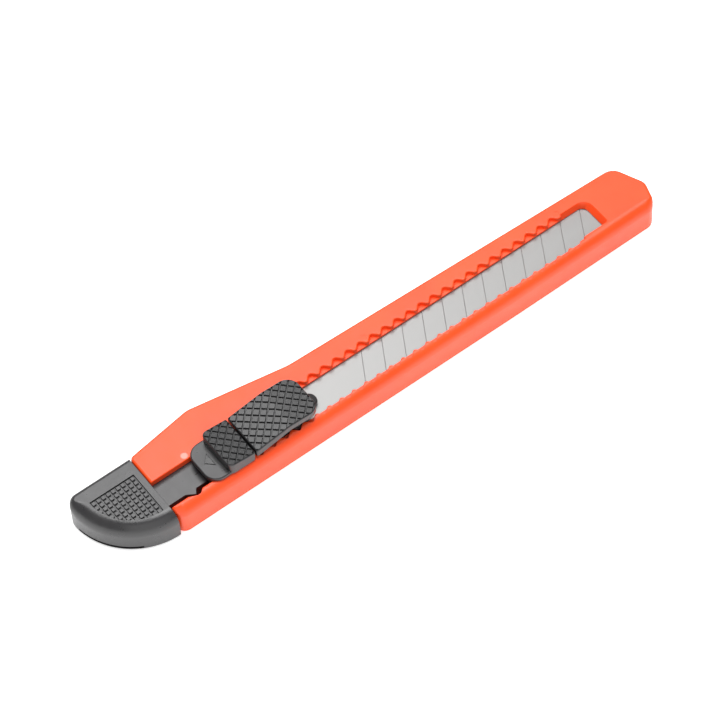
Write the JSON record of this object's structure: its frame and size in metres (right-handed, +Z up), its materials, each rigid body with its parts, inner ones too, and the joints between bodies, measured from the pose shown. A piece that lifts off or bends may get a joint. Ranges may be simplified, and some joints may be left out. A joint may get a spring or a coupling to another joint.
{
  "type": "snap-off utility knife",
  "caption": "Slim snap-off utility knife: plastic handle with a scalloped slot, thumb slider that extends a scored steel blade, and a pull-off end cap.",
  "frame": {"origin": "on the underside, on the centreline of the slot, half-way along the knife", "axes": "+X towards the tip, +Y towards the cutting-edge side, +Z up out of the slot"},
  "size_m": [0.1345, 0.0186, 0.0114],
  "materials": {
    "handle_plastic": "satin orange-red moulded polystyrene",
    "cap_plastic": "satin black moulded plastic",
    "slider_plastic": "fine-textured black moulded plastic",
    "spring_steel": "bright spring steel",
    "blade_steel": "fine-ground carbon steel with a light oil film"
  },
  "bodies": {
    "handle": {"handle": "handle_plastic"},
    "cap": {"end_cap": "cap_plastic"},
    "slider": {"slider_carrier": "slider_plastic", "lever_pin": "spring_steel", "detent_spring_bridge": "spring_steel", "blade": "blade_steel"},
    "lever": {"thumb_lever": "slider_plastic"},
    "left_arm": {"detent_arm_left": "spring_steel"},
    "right_arm": {"detent_arm_right": "spring_steel"}
  },
  "joints": [
    {"name": "slider_slide", "type": "slide", "parent": "handle", "child": "slider", "axis": [1, 0, 0], "range_m": [-0.003, 0.069]},
    {"name": "cap_pull", "type": "slide", "parent": "handle", "child": "cap", "axis": [-1, 0, 0], "range_m": [0, 0.012]},
    {"name": "lever_press", "type": "hinge", "parent": "slider", "child": "lever", "pos_m": [-0.0319, 0, 0.00785], "axis": [0, 1, 0], "range_deg": [0, 4], "stiffness_Nm_per_rad": 0.05, "springref_deg": -1.15},
    {"name": "left_arm_flex", "type": "hinge", "parent": "slider", "child": "left_arm", "pos_m": [-0.03, 0.0029, 0.0075], "axis": [0, 0, 1], "range_deg": [-8, 0]},
    {"name": "right_arm_flex", "type": "hinge", "parent": "slider", "child": "right_arm", "pos_m": [-0.03, -0.0029, 0.0075], "axis": [0, 0, 1], "range_deg": [0, 8]}
  ],
  "couplings": [
    {"joint": "left_arm_flex", "follows": "lever_press", "ratio": -2},
    {"joint": "right_arm_flex", "follows": "lever_press", "ratio": 2}
  ]
}
